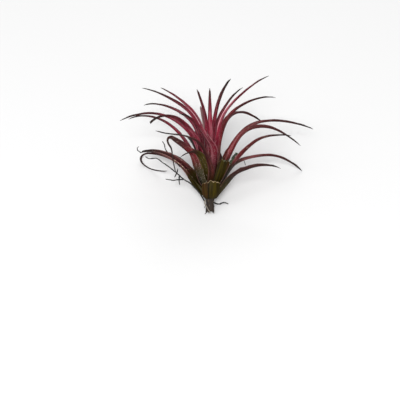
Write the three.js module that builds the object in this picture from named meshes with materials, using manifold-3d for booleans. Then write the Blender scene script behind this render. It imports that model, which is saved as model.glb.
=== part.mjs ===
// Sky plant: a small air plant picked whole, leaning back on its dry stub and its two lowest side leaves.
// Narrow channelled leaves stand in a spiral on a short tapering stem. The outer ones are olive and
// arch over, the inner ones are red and stand up. Lengths are millimetres and angles are degrees.
import * as THREE from "three";
import { mergeVertices } from "three/addons/utils/BufferGeometryUtils.js";
import Module from "manifold-3d";

const wasm = await Module();
wasm.setup();

// The plant as a whole. It is worked out standing upright: +Z along its stem, the viewer on -Y.
const RECLINE = 45; // how far the stem then leans back, towards +Y
const SPIRAL = 137.5; // turn round the stem from one leaf to the next
const FIRST_LEAF_HEIGHT = 0.8;
const LEAF_STEP = 0.46; // height from one leaf root to the next

// The stem, with the dry stub of old stem under the leaves.
const STEM_FOOT_RADIUS = 3.2;
const STEM_TAPER = 0.157; // radius lost for each millimetre of height
const STEM_TOP = 18.9;
const STUB_RADIUS = 2.4;
const STUB_LENGTH = 7.5;
const STEM_SIDES = 12;
const MERGE_DISTANCE = 1e-4; // points closer than this are one

// The surface that the plant rests on, measured down the leaning stem's own axis.
const REST_DEPTH = 9;

// The leaves.
const ROOT_GAP = 0.3; // between a leaf's root and the stem
const SHEATH_THICKNESS = 0.6;
const BLADE_THICKNESS = 1.2;
const EDGE_THICKNESS = 0.6;
const SHEATH_FADE = [10, 24]; // the stretch over which the sheath narrows to the blade
const SHEATH_WIDTH = 5.2;
const BLADE_WIDTH = 4.2;
const TIP_WIDTH = 1;
const THREAD_WIDTH = 0.65;
const BLADE_START = 0.3; // share of the length where the taper to the tip starts
const TAPER_POWER = 1.8;
const CHANNEL_ANGLE = 82; // half the arc that a blade's section bends through
const PACKED_TOP = 22; // below this height the sheaths lie packed round the stem
const OPEN_TOP = 32; // above this height they no longer touch
const PACKED_ANGLE = 23; // half the arc round the stem that a packed sheath covers
const TURN_START = 5; // a leaf turns from its root's direction to its heading over this stretch
const TURN_END = 22;
const LEAF_RINGS = 15;
const STUMP_RINGS = 6;

// The roots.
const ROOT_RADIUS = 0.38;
const ROOT_TIP_RADIUS = 0.26;
const ROOT_SIDES = 6;
const ROOT_STEP = 2.2; // length of one straight step along a root

const RED = 0x8c3340;
const DARK_RED = 0x5c2028;
const OLIVE = 0x55521f;
const BROWN = 0x4a3a28;

// A leaf: its place in the spiral, counted from the lowest, the direction it points in, its length, and how
// far it leans from the stem at even steps from root to tip. Directions go from +X, 0, to the back, 90.
// Some leaves say more: root is the direction where the root stands if neighbours push it out of the
// spiral, turn the stretch where it swings to its heading, thread the share of its length where it has
// shrunk to a dry thread, sheath, blade and tip its own widths, fade the stretch where its sheath narrows,
// taper how late its blade does, and rings how many steps its form needs.
const leaf = (name, rank, heading, length, lean, more) => ({
  name,
  rank,
  heading,
  length,
  lean,
  colour: RED,
  ...more,
});

// Two leaves have dried out from the tip: one thread loops back under its blade, one is folded down.
const LOOPED_LEANS = [48, 38, 38, 41, 49, 53, 63, 73, 77, 84, 89, 121, 217, 243, 258, 264, 269];
const FOLDED_LEANS = [35, 29, 23, 18, 17, 22, 32, 48, 53, 56, 58, 66, 172, 215, 191, 187, 191, 193, 194];

const LEAVES = [
  leaf("leaf_right_1", 0, 350, 44, [42, 36, 59, 73, 92, 110], { root: 338, colour: OLIVE }),
  leaf("leaf_right_2", 5, 338, 59, [40, 28, 43, 54, 84, 95], { root: 343, colour: DARK_RED }),
  leaf("leaf_right_3", 8, 25.5, 67.5, [40, 38, 73, 87, 112, 127], { colour: DARK_RED }),
  leaf("leaf_right_4", 13, 345, 71, [34, 23, 32, 81, 118, 129]),
  leaf("leaf_right_5", 16, 25, 86, [31, 30, 44, 80, 97, 106]),
  leaf("leaf_right_6", 21, 12, 69, [26, 3, 12, 48, 70, 94], { blade: 3.8 }),
  leaf("leaf_right_7", 24, 50, 73, [24, 20, 25, 67, 100, 109], { colour: DARK_RED }),
  leaf("leaf_right_8", 26, 336, 70, [20, 3, 13, 44, 55, 68], { root: 341, blade: 4 }),
  leaf("leaf_right_9", 29, 28, 56.5, [18, 3, 3, 28, 40, 56], { sheath: 3.6, blade: 3.4 }),
  leaf("leaf_left_1", 1, 146, 80.5, LOOPED_LEANS, { thread: 0.62, rings: 25, colour: OLIVE }),
  leaf("leaf_left_2", 4, 182, 46, [41, 31, 46, 61, 79, 104], { root: 198, colour: OLIVE }),
  leaf("leaf_left_3", 9, 167, 70, [38, 13, 32, 51, 79, 111]),
  leaf("leaf_left_4", 12, 195, 58, FOLDED_LEANS, { thread: 0.62, rings: 21, colour: DARK_RED }),
  leaf("leaf_left_5", 17, 172, 75, [30, 6, 38, 65, 95, 114]),
  leaf("leaf_left_6", 22, 155, 69, [25, 6, 23, 56, 74, 99]),
  leaf("leaf_left_7", 25, 212, 58, [22, 10, 36, 55, 92, 137], { blade: 3.9, tip: 1.3 }),
  leaf("leaf_left_8", 27, 140, 69.5, [20, 11, 23, 47, 59, 65], { blade: 3.3 }),
  leaf("leaf_left_9", 30, 172, 68, [18, 6, 22, 52, 64, 77], { blade: 3.6 }),
  leaf("leaf_front_1", 15, 207, 55, [24, 38, 29, 70, 87, 73], {
    root: 276,
    sheath: 3.6,
    blade: 3.2,
    thread: 0.65,
    colour: DARK_RED,
  }),
  leaf("leaf_front_2", 20, 200, 29.5, [23, 30, 28, 58, 108, 122], {
    root: 245,
    sheath: 3.2,
    blade: 2.6,
    thread: 0.8,
    colour: OLIVE,
  }),
  leaf("leaf_front_3", 23, 216, 47.5, [22, 2, 36, 41, 56, 84], {
    root: 287,
    turn: [7, 25],
    sheath: 6.5,
    fade: [20, 34],
  }),
  leaf("leaf_back_1", 3, 98, 44, [45, 36, 41, 52, 62, 74], { colour: DARK_RED }),
  leaf("leaf_back_2", 6, 112, 50, [42, 33, 38, 49, 60, 72], { colour: DARK_RED }),
  leaf("leaf_back_3", 11, 86, 55, [36, 27, 40, 58, 74, 88]),
  leaf("leaf_back_4", 14, 98, 56, [33, 23, 36, 58, 76, 92]),
  leaf("leaf_back_5", 19, 96, 52, [28, 20, 31, 54, 76, 92]),
  leaf("leaf_back_6", 32, 98, 36, [18, 12, 22, 44, 64, 80], { blade: 2.1 }),
  leaf("leaf_back_7", 35, 109, 39, [16, 6, 7, 23, 30, 30], { sheath: 2.6, blade: 2.8, tip: 1.5 }),
  leaf("leaf_heart_1", 34, 308, 55, [16, -1, 3, 19, 35, 54], { root: 340, sheath: 3, blade: 2.9 }),
  leaf("leaf_heart_2", 36, 260, 45, [15, 9, 4, 1, 0, 0], { sheath: 3.4, blade: 4, tip: 0.7, taper: 1.1 }),
  leaf("leaf_heart_3", 38, 232, 45, [15, 2, -2, 14, 27, 30], { sheath: 2.8, blade: 2.8 }),
];

// Torn leaves, of which only the sheath is left, with its widths at even steps. The first two start low, at
// a height and distance from the axis of their own, and cup the plant's foot.
const STUMPS = [
  leaf("stump_front", 2, 290, 10.6, [80, 48, 18, 6, 0], {
    root: 290,
    height: -0.2,
    fromAxis: 3.2,
    widths: [2.6, 4.4, 5.7, 6.7, 7.2],
    colour: OLIVE,
  }),
  leaf("stump_left", 7, 245, 10.4, [78, 46, 18, 4, 0], {
    root: 245,
    height: -0.2,
    fromAxis: 3.2,
    widths: [2.2, 3.2, 3.8, 4, 3.9],
    colour: OLIVE,
  }),
  leaf("leaf_torn", 10, 305, 18, [40, 26, 29], {
    root: 318,
    widths: [2.6, 4.4, 4.8, 4.8, 4.2],
    colour: OLIVE,
  }),
];

// The wiry roots, as points along each, thick to thin. The first is branched.
const ROOTS = [
  {
    name: "root_long",
    stretches: [
      [
        [-2.7, 0.6, -2.4],
        [-6, 1.2, 2.8],
        [-10.7, 2, 7.9],
        [-15, 2.6, 10.7],
        [-19, 3, 14.2],
        [-23.4, 3.2, 17.8],
        [-27.1, 3.4, 20.3],
        [-30.6, 3.6, 22.7],
        [-34.8, 4, 22.6],
        [-37.1, 4, 23.8],
      ],
      [
        [-15, 2.6, 10.7],
        [-18.4, 2, 10.4],
        [-21.6, 1.8, 10.2],
        [-25.5, 1.4, 10.8],
      ],
      [
        [-17.4, 2.8, 13],
        [-17.6, 2, 10.4],
        [-17.4, 1.2, 7.4],
      ],
      [
        [-19, 3, 14.2],
        [-20.3, 2.4, 11.8],
      ],
      [
        [-19, 3, 14.2],
        [-18.3, 2.4, 17],
      ],
    ],
  },
  {
    name: "root_upper",
    stretches: [
      [
        [-3.4, 0.9, 3.6],
        [-5.6, 1.2, 6],
        [-8.3, 0.9, 10.6],
        [-10.4, 1, 15],
        [-12.6, 1, 18.9],
        [-17.2, 0.8, 23],
        [-20, 0.6, 23.8],
        [-22.2, 0.4, 25.4],
        [-24.3, 0.4, 26.2],
        [-25.6, 0.6, 28.3],
        [-25.9, 0.8, 30.2],
        [-27.2, 1, 32.4],
      ],
    ],
  },
  {
    name: "root_dry",
    stretches: [
      [
        [-2.6, -2, -1.2],
        [-3, -2.6, -3],
        [-1.7, -3.3, -5.4],
        [0.2, -3.4, -8.6],
      ],
    ],
  },
  {
    name: "root_short",
    stretches: [
      [
        [2.2, 1.6, -2.6],
        [5, 3.2, -3.4],
        [8.2, 3.6, -2.6],
        [10.6, 4.4, -3.4],
      ],
    ],
  },
];

const radians = THREE.MathUtils.degToRad;
const smooth = (value, low, high) => THREE.MathUtils.smoothstep(value, low, high);
const mix = THREE.MathUtils.lerp;

const stemRadius = (height) => STEM_FOOT_RADIUS - STEM_TAPER * (height - FIRST_LEAF_HEIGHT);

// The value at share t of a list of evenly spaced values, on a smooth curve through them.
function along(values, t) {
  const last = values.length - 1;
  const step = Math.min(Math.floor(t * last), last - 1);
  const f = t * last - step;
  const at = (i) => {
    if (i < 0) return 2 * values[0] - values[1];
    if (i > last) return 2 * values[last] - values[last - 1];
    return values[i];
  };
  const [a, b, c, d] = [at(step - 1), at(step), at(step + 1), at(step + 2)];
  const bends = [2 * b, c - a, 2 * a - 5 * b + 4 * c - d, 3 * b - a - 3 * c + d];
  return 0.5 * bends.reduce((sum, bend, power) => sum + bend * f ** power, 0);
}

// The leaf's middle line, as stations from root to tip. Each has its place and three directions: along the
// leaf, across it, and inward, which is the side that faces the stem and then the sky.
function stations(leaf, count) {
  const rootDirection = leaf.root ?? (SPIRAL * leaf.rank) % 360;
  const turn = THREE.MathUtils.euclideanModulo(leaf.heading - rootDirection + 180, 360) - 180;
  const [turnStart, turnEnd] = leaf.turn ?? [TURN_START, TURN_END];
  const rootHeight = leaf.height ?? FIRST_LEAF_HEIGHT + LEAF_STEP * leaf.rank;
  const rootRadius = leaf.fromAxis ?? stemRadius(rootHeight) + ROOT_GAP + SHEATH_THICKNESS / 2;
  const FINE = 6; // short steps between two stations
  const place = new THREE.Vector3(
    rootRadius * Math.cos(radians(rootDirection)),
    rootRadius * Math.sin(radians(rootDirection)),
    rootHeight,
  );
  const directions = (s) => {
    const lean = radians(along(leaf.lean, s / leaf.length));
    const heading = radians(rootDirection + turn * smooth(s, turnStart, turnEnd));
    const [sx, sy] = [Math.cos(heading), Math.sin(heading)];
    return {
      lean,
      forward: new THREE.Vector3(Math.sin(lean) * sx, Math.sin(lean) * sy, Math.cos(lean)),
      across: new THREE.Vector3(-sy, sx, 0),
      inward: new THREE.Vector3(-Math.cos(lean) * sx, -Math.cos(lean) * sy, Math.sin(lean)),
    };
  };
  const list = [];
  const step = leaf.length / ((count - 1) * FINE);
  for (let i = 0; i <= (count - 1) * FINE; i++) {
    const s = i * step;
    if (i > 0) place.addScaledVector(directions(s - step / 2).forward, step);
    if (i % FINE === 0) list.push({ s, t: s / leaf.length, place: place.clone(), ...directions(s) });
  }
  return list;
}

// The leaf's width at a station: a broad sheath that clasps the stem, then a blade that tapers to its tip.
function widthAt(leaf, station) {
  const { s, t, place } = station;
  if (leaf.widths) return along(leaf.widths, t);
  const fromAxis = Math.hypot(place.x, place.y);
  const packed = 2 * fromAxis * Math.tan(radians(PACKED_ANGLE));
  const tip = leaf.tip ?? (leaf.thread ? THREAD_WIDTH : TIP_WIDTH);
  const blade = leaf.blade ?? BLADE_WIDTH;
  const x = THREE.MathUtils.clamp((t - BLADE_START) / ((leaf.thread ?? 1) - BLADE_START), 0, 1);
  const tapered = tip + (blade - tip) * (1 - x ** (leaf.taper ?? TAPER_POWER));
  const [fadeStart, fadeEnd] = leaf.fade ?? SHEATH_FADE;
  const wanted = mix(leaf.sheath ?? SHEATH_WIDTH, tapered, smooth(s, fadeStart, fadeEnd));
  return Math.min(wanted, mix(packed, wanted, smooth(place.z, PACKED_TOP, OPEN_TOP)));
}

// The surface that the plant rests on, as a plane in the upright plant's own space.
const restPlane = new THREE.Plane(
  new THREE.Vector3(0, -Math.sin(radians(RECLINE)), Math.cos(radians(RECLINE))),
  REST_DEPTH * Math.cos(radians(RECLINE)),
);

// Eight points round the leaf at a station. The section is a curved strip, hollow on its inward side.
// Where the leaf touches the surface that the plant rests on, it is pressed flat.
function section(leaf, station) {
  const { s, t, place, lean, across, inward } = station;
  const width = widthAt(leaf, station);
  const [fadeStart, fadeEnd] = leaf.fade ?? SHEATH_FADE;
  const clasp = 1 - smooth(s, fadeStart, fadeEnd);
  const middle = mix(mix(BLADE_THICKNESS, EDGE_THICKNESS, t ** 2), SHEATH_THICKNESS, clasp);
  const clasping = Math.abs(Math.cos(lean)) / Math.max(Math.hypot(place.x, place.y), 1);
  const channelled = Math.sin(radians(CHANNEL_ANGLE)) / (width / 2);
  const bend = Math.min(mix(channelled, clasping, clasp), 1 / (middle + 0.25));
  const radius = 1 / bend;
  const half = Math.asin(Math.min(width / 2 / radius, 0.99));
  const height = Math.max(middle, radius * (1 - Math.cos(half)));
  const ring = [];
  const point = (angle, depth) => {
    const r = radius - depth;
    ring.push(
      place
        .clone()
        .addScaledVector(across, r * Math.sin(angle))
        .addScaledVector(inward, radius - height / 2 - r * Math.cos(angle)),
    );
  };
  for (const share of [-1, -1 / 3, 1 / 3, 1]) point(half * share, 0);
  point(half, EDGE_THICKNESS);
  point(half / 3, middle);
  point(-half / 3, middle);
  point(-half, EDGE_THICKNESS);
  for (const p of ring) p.addScaledVector(restPlane.normal, Math.max(0, -restPlane.distanceToPoint(p)));
  return ring;
}

// A closed skin over rings of points, all with the same count. Each end is closed by strips across the ring.
function loft(rings) {
  const sides = rings[0].length;
  const positions = rings.flat().flatMap((p) => p.toArray());
  const faces = [];
  for (let i = 0; i + 1 < rings.length; i++) {
    for (let j = 0; j < sides; j++) {
      const [a, b] = [i * sides + j, i * sides + ((j + 1) % sides)];
      faces.push(a, b, b + sides, a, b + sides, a + sides);
    }
  }
  const last = (rings.length - 1) * sides;
  for (let j = 0; j < sides / 2 - 1; j++) {
    const [a, b, c, d] = [j, j + 1, sides - 2 - j, sides - 1 - j];
    faces.push(a, c, b, a, d, c);
    faces.push(last + a, last + b, last + c, last + a, last + c, last + d);
  }
  const geometry = new THREE.BufferGeometry();
  geometry.setAttribute("position", new THREE.Float32BufferAttribute(positions, 3));
  geometry.setIndex(faces);
  geometry.computeVertexNormals();
  return geometry;
}

function mesh(name, geometry, colour) {
  const made = new THREE.Mesh(geometry, new THREE.MeshStandardMaterial({ color: colour, roughness: 0.6 }));
  made.name = name;
  return made;
}

function leafMesh(leaf) {
  const rings = stations(leaf, leaf.rings ?? LEAF_RINGS).map((station) => section(leaf, station));
  return mesh(leaf.name, loft(rings), leaf.colour);
}

// One solid from a closed geometry, and a geometry back from a solid.
function solid(geometry) {
  const bare = geometry.clone();
  for (const name of Object.keys(bare.attributes)) {
    if (name !== "position") bare.deleteAttribute(name);
  }
  const merged = mergeVertices(bare, MERGE_DISTANCE);
  return new wasm.Manifold(
    new wasm.Mesh({
      numProp: 3,
      vertProperties: merged.attributes.position.array,
      triVerts: Uint32Array.from(merged.index.array),
    }),
  );
}

function fromSolid(manifold) {
  const { vertProperties, triVerts } = manifold.getMesh();
  const geometry = new THREE.BufferGeometry();
  geometry.setAttribute("position", new THREE.Float32BufferAttribute(vertProperties, 3));
  geometry.setIndex(Array.from(triVerts));
  geometry.computeVertexNormals();
  return geometry;
}

// The stem, as rings from the worn end of the dry stub up to the top, where the youngest leaves stand. A
// block below the resting plane cuts the stub's lower corner flat.
function stemMesh() {
  const profile = [
    [-STUB_LENGTH, STUB_RADIUS],
    [-STUB_LENGTH * 0.6, STUB_RADIUS * 0.96],
    [-STUB_LENGTH * 0.25, STUB_RADIUS * 0.9],
    [0, STEM_FOOT_RADIUS * 0.9],
    [FIRST_LEAF_HEIGHT, STEM_FOOT_RADIUS],
    [STEM_TOP, stemRadius(STEM_TOP)],
  ];
  const rings = profile.map(([height, radius]) => {
    const ring = [];
    for (let j = 0; j < STEM_SIDES; j++) {
      const angle = (2 * Math.PI * j) / STEM_SIDES;
      ring.push(new THREE.Vector3(radius * Math.cos(angle), radius * Math.sin(angle), height));
    }
    return ring;
  });
  const size = 4 * STUB_LENGTH;
  const ground = new THREE.BoxGeometry(size, size, size);
  ground.translate(0, 0, -REST_DEPTH * Math.cos(radians(RECLINE)) - size / 2);
  ground.rotateX(radians(RECLINE));
  return mesh("stem", fromSolid(solid(loft(rings)).subtract(solid(ground))), BROWN);
}

// A wiry root: a thin round thread along each of its stretches, joined into one.
function rootMesh({ name, stretches }) {
  const threads = stretches.map((points) => {
    const curve = new THREE.CatmullRomCurve3(points.map((p) => new THREE.Vector3(...p)));
    const steps = Math.ceil(curve.getLength() / ROOT_STEP);
    const frames = curve.computeFrenetFrames(steps);
    const rings = [];
    for (let i = 0; i <= steps; i++) {
      const radius = mix(ROOT_RADIUS, ROOT_TIP_RADIUS, i / steps);
      const centre = curve.getPointAt(i / steps);
      const ring = [];
      for (let j = 0; j < ROOT_SIDES; j++) {
        const angle = (2 * Math.PI * j) / ROOT_SIDES;
        ring.push(
          centre
            .clone()
            .addScaledVector(frames.normals[i], radius * Math.cos(angle))
            .addScaledVector(frames.binormals[i], radius * Math.sin(angle)),
        );
      }
      rings.push(ring);
    }
    return solid(loft(rings));
  });
  return mesh(name, fromSolid(threads.reduce((joined, thread) => joined.add(thread))), BROWN);
}

const plant = new THREE.Group();
plant.add(stemMesh());
for (const shape of LEAVES) plant.add(leafMesh(shape));
for (const stump of STUMPS) plant.add(leafMesh({ ...stump, rings: STUMP_RINGS }));
for (const root of ROOTS) plant.add(rootMesh(root));

// Lean the plant back and set the middle of its lowest side at the origin.
plant.rotation.x = -radians(RECLINE);
const box = new THREE.Box3().setFromObject(plant, true);
const centre = box.getCenter(new THREE.Vector3());
plant.position.set(-centre.x, -centre.y, -box.min.z);

const part = new THREE.Group();
part.add(plant);
export default part;
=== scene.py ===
"""Looks of the sky plant: a small air plant picked whole, leaning back on its stub and two low leaves."""

import math

import bpy
import numpy as np
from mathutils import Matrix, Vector


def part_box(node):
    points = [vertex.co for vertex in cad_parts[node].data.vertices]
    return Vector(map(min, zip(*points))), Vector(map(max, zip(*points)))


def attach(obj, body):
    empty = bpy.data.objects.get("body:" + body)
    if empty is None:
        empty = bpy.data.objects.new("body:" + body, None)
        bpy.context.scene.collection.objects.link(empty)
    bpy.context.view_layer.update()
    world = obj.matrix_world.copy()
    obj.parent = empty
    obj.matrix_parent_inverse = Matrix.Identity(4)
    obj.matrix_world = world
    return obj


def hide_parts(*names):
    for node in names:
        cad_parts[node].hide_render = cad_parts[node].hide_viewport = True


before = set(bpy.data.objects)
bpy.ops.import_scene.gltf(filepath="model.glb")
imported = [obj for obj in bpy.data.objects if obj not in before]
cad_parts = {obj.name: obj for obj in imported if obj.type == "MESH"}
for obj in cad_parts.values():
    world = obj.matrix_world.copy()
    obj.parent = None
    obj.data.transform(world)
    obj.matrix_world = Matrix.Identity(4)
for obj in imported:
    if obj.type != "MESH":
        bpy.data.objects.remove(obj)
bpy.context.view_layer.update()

# The plant is worked out standing upright, in millimetres: +Z along its stem, the viewer on -Y.
# These values repeat the CAD model's, so that every leaf follows its own solid.
MM = 0.001
RECLINE = math.radians(45)
SPIRAL = 137.5
FIRST_LEAF_HEIGHT = 0.8
LEAF_STEP = 0.46
STEM_FOOT_RADIUS = 3.2
STEM_TAPER = 0.157
STEM_TOP = 18.9
STUB_RADIUS = 2.4
STUB_LENGTH = 7.5
REST_DEPTH = 9
ROOT_GAP = 0.3
SHEATH_THICKNESS = 0.6
BLADE_THICKNESS = 1.2
EDGE_THICKNESS = 0.6
SHEATH_FADE = (10, 24)
SHEATH_WIDTH = 6
BLADE_WIDTH = 4.2
TIP_WIDTH = 1
BLADE_START = 0.3
TAPER_POWER = 1.8
CHANNEL_ANGLE = math.radians(82)
PACKED_TOP = 22
OPEN_TOP = 32
TURN_STRETCH = (5, 22)

# How finely the pieces are made, and how thin a real leaf is where its solid has to stay thick.
LEAF_RINGS = 84
STUMP_RINGS = 60
FACE_POINTS = 11
FINE_STEP = 0.2
MARGIN_THICKNESS = 0.26
POINT_WIDTH = 0.2
FULLNESS = 1.06
END_EXTRA = 0.15
END_EXTRA_STRETCH = (0.5, 0.8)
SLIMNESS = 0.9
CROWNING = 0.8
MARGIN_BULGE = 0.4
CURL_LIMIT = 0.99
CURL_CLEARANCE = 0.25
LINE_SPARE = 1.15

# How uneven a leaf is: how much its width, its margins and its turn waver, and over what length.
WIDTH_WAVER, WIDTH_WAVE = 0.05, 34
RIPPLE, RIPPLE_WAVE = 0.07, 9
RIPPLE_SHARPNESS = 3
RIPPLE_STRETCH = (0.2, 0.5)
TWIST, TWIST_WAVE = math.radians(5), 60
RIM_SHARPNESS = 10
SPOT_INSIDE, SPOT_OUTSIDE = 0.2, 0.65
SPOT_PALENESS_AND_HIGHLIGHT = 1.3
TORN_RIM = (0.965, 0.985)

# The stem's skin, and the thin tubes of roots and shreds. GRAIN_RADIUS turns an angle round the stem into
# millimetres for its fibres, and GRAIN_STEP is the same for each step round a tube.
STEM_SIDES = 56
STEM_RIDGES = 0.05
STEM_BANDS = 0.03
STUB_RINGS = 40
CORE_RINGS = 30
CORE_START = 1.2
GRAIN_RADIUS = 2.5
END_WEAR = 0.8
END_WEAR_START = 5
TUBE_SIDES = 9
GRAIN_STEP = 0.25
TUBE_ROUGHNESS = 0.16
ROOT_STEP = 0.45
ROOT_RADII = (0.42, 0.26)
ROOT_TIP = 0.3
ROOT_KINK, ROOT_KINK_WAVE = 0.12, 7
ROOT_SWELL, ROOT_SWELL_WAVE = 0.15, 5
SHRED_STEP = 0.3
SHRED_WAVE = 3

SEED = 7
ROOT_SEED = SEED + 100
SHRED_SEED = SEED + 200


def smooth(value, low, high):
    share = np.clip((np.asarray(value, float) - low) / (high - low), 0, 1)
    return share * share * (3 - 2 * share)


def bump(value, start, full, fades, end):
    """One between full and fades, and nothing before start or after end."""
    return smooth(value, start, full) * (1 - smooth(value, fades, end))


def mix(low, high, share):
    return low + (high - low) * share


def spline(values, share):
    """The value at a share of a list of evenly spaced values, on a smooth curve through them."""
    v = np.asarray(values, float)
    last = len(v) - 1
    x = np.clip(np.asarray(share, float), 0, 1) * last
    i = np.minimum(x.astype(int), last - 1)
    f = x - i
    padded = np.concatenate([[2 * v[0] - v[1]], v, [2 * v[-1] - v[-2]]])
    a, b, c, d = padded[i], padded[i + 1], padded[i + 2], padded[i + 3]
    bends = (2 * b) + (c - a) * f + (2 * a - 5 * b + 4 * c - d) * f**2 + (3 * b - a - 3 * c + d) * f**3
    return 0.5 * bends


def stem_radius(height):
    return STEM_FOOT_RADIUS - STEM_TAPER * (height - FIRST_LEAF_HEIGHT)


# Where the upright plant stands in the frame, read from the stem's solid.
stem_low, stem_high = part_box("stem")
slope = math.cos(RECLINE)
OFFSET = np.array(
    [
        (stem_low.x + stem_high.x) / 2,
        stem_high.y - (STEM_TOP + stem_radius(STEM_TOP)) * slope * MM,
        REST_DEPTH * slope * MM,
    ]
)


def placed(points, pressed=True):
    """Upright millimetres to metres in the frame. What would sink into the floor is pressed flat on it."""
    p = np.asarray(points, float).reshape(-1, 3)
    turned = np.stack(
        [
            p[:, 0],
            p[:, 1] * math.cos(RECLINE) + p[:, 2] * math.sin(RECLINE),
            -p[:, 1] * math.sin(RECLINE) + p[:, 2] * math.cos(RECLINE),
        ],
        axis=1,
    )
    out = turned * MM + OFFSET
    if pressed:
        out[:, 2] = np.maximum(out[:, 2], 0)
    return out


# The leaves, as in the CAD model: place in the spiral, heading, length, and lean from the stem. A list is
# read at even steps from a leaf's root to its tip, or for stripes and blush across it, counterclockwise.
#   olive, dark, dry: how olive it is, how dark, and how far it has dried to grey.
#   pale, silver, flecks: how much pale dry skin it has, how many silvery scales and how many pale flecks.
#   stripes, blush: how much darker and how much less olive it is across its width.
#   roll: how far it turns about its own middle line, in degrees.
#   rims: how pale its two margins are, partly from their own paler colour and partly from a painted highlight
#       on a lit edge; this starts, is full, fades and ends at the four shares in rim_at.
#   point: how long its narrowing end is. packing: how wide it lies where the leaves are packed.
#   thread_widths: how wide a dried thread is where it starts and ends. spots: reach and place across of each
#       pale spot, whose middle carries a painted highlight.
#   material: what it looks like, where that isn't what its slot says.
# Where a leaf differs from the usual values above:
#   root: where round the stem it starts, in degrees. turn: where along it its heading turns.
#   sheath, blade, tip: its widths. fade: where along it the sheath becomes the blade.
#   taper: how late it narrows. thread: the share of its length from which it has dried to a thread.
#   rings: how many rings of points it has.
RED = {
    "slot": "leaf_red",
    "olive": [0.9, 0.45, 0, 0, 0, 0],
    "dark": [0.5, 0.15, 0.1, 0.45, 0.9, 1.1],
    "dry": [0, 0, 0, 0, 0.4, 0.9],
    "pale": [0, 0],
    "silver": [1, 1.1, 0.8, 0.4, 0.1, 0],
    "flecks": [0.3, 0.3, 0.2, 0],
    "rims": (0.1, 0.1),
    "rim_at": (-1, 0, 0.6, 0.9),
    "point": 2.2,
    "packing": 0.72,
    "roll": [0, 0],
    "thread_widths": (0.9, 0.6),
    "spots": [],
    "stripes": [0, 0],
    "blush": [0, 0],
}
BRIGHT = {**RED, "dark": [0.6, 0.2, 0, 0.1, 0.5, 1], "dry": [0, 0, 0, 0, 0.2, 0.7]}
RUSSET = {
    **RED,
    "material": "leaf_russet",
    "olive": [1, 0.5, 0, 0, 0, 0],
    "dark": [0.8, 0.4, 0.3, 0.7, 1, 1],
}
# Olive and dark further from the root than RUSSET: partly the base's own olive colour, partly painted shade
# where it lies deep among the other leaves.
SHADED = {**RUSSET, "olive": [1, 1, 0.2, 0, 0, 0], "dark": [1, 1, 0.5, 0.7, 1, 1]}
DARK = {
    **RED,
    "slot": "leaf_dark",
    "olive": [1, 0.6, 0.1, 0, 0, 0],
    "dark": [0.5, 0.2, 0.4, 0.7, 0.9, 1],
    "dry": [0, 0, 0, 0, 0.3, 1],
    "silver": [1, 0.6, 0.4, 0.2, 0.1, 0],
}
OLIVE = {
    **RED,
    "slot": "leaf_olive",
    "olive": [1, 0.9, 0.3, 0.1, 0, 0],
    "dark": [0.7, 0.5, 0.3, 0.5, 0.9, 1],
    "dry": [0, 0, 0, 0, 0.3, 1],
    "silver": [0.3, 0.3, 0.3, 0.2, 0.1, 0],
}
DROPPED = {
    **DARK,
    "olive": [1.2, 1, 0.2, 0, 0, 0],
    "dark": [0.2, 0.3, 0.5, 0.7, 1, 1],
    "dry": [0, 0, 0, 0, 0.4, 1],
    "silver": [0.2, 0.3, 0.3, 0.2, 0.1, 0],
    "flecks": [0.2, 0.6, 0.8, 0.3, 0],
}
FOLDED = {
    **DARK,
    "material": "leaf_russet",
    "olive": [1, 0.7, 0, 0, 0, 0, 0],
    "dark": [0.3, 0, 0.3, 0.8, 1, 1, 1],
    "dry": [0, 0, 0, 0, 0.6, 1, 1],
    "silver": [2.2, 2.2, 1, 0.4, 0, 0],
}
STUMP = {
    **OLIVE,
    "olive": [1.1, 1.1],
    "dark": [0.4, 0.1, 0, 0],
    "dry": [0, 0],
    "silver": [0, 0],
    "flecks": [0, 0],
    "rims": (0, 0),
}


def leaf(name, style, rank, heading, length, lean, **more):
    return {**style, "name": name, "rank": rank, "heading": heading, "length": length, "lean": lean, **more}


LOOPED_LEANS = [48, 38, 38, 41, 49, 53, 63, 73, 77, 84, 89, 121, 217, 243, 258, 264, 269]
FOLDED_LEANS = [35, 29, 23, 18, 17, 22, 32, 48, 53, 56, 58, 66, 172, 215, 191, 187, 191, 193, 194]

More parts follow.
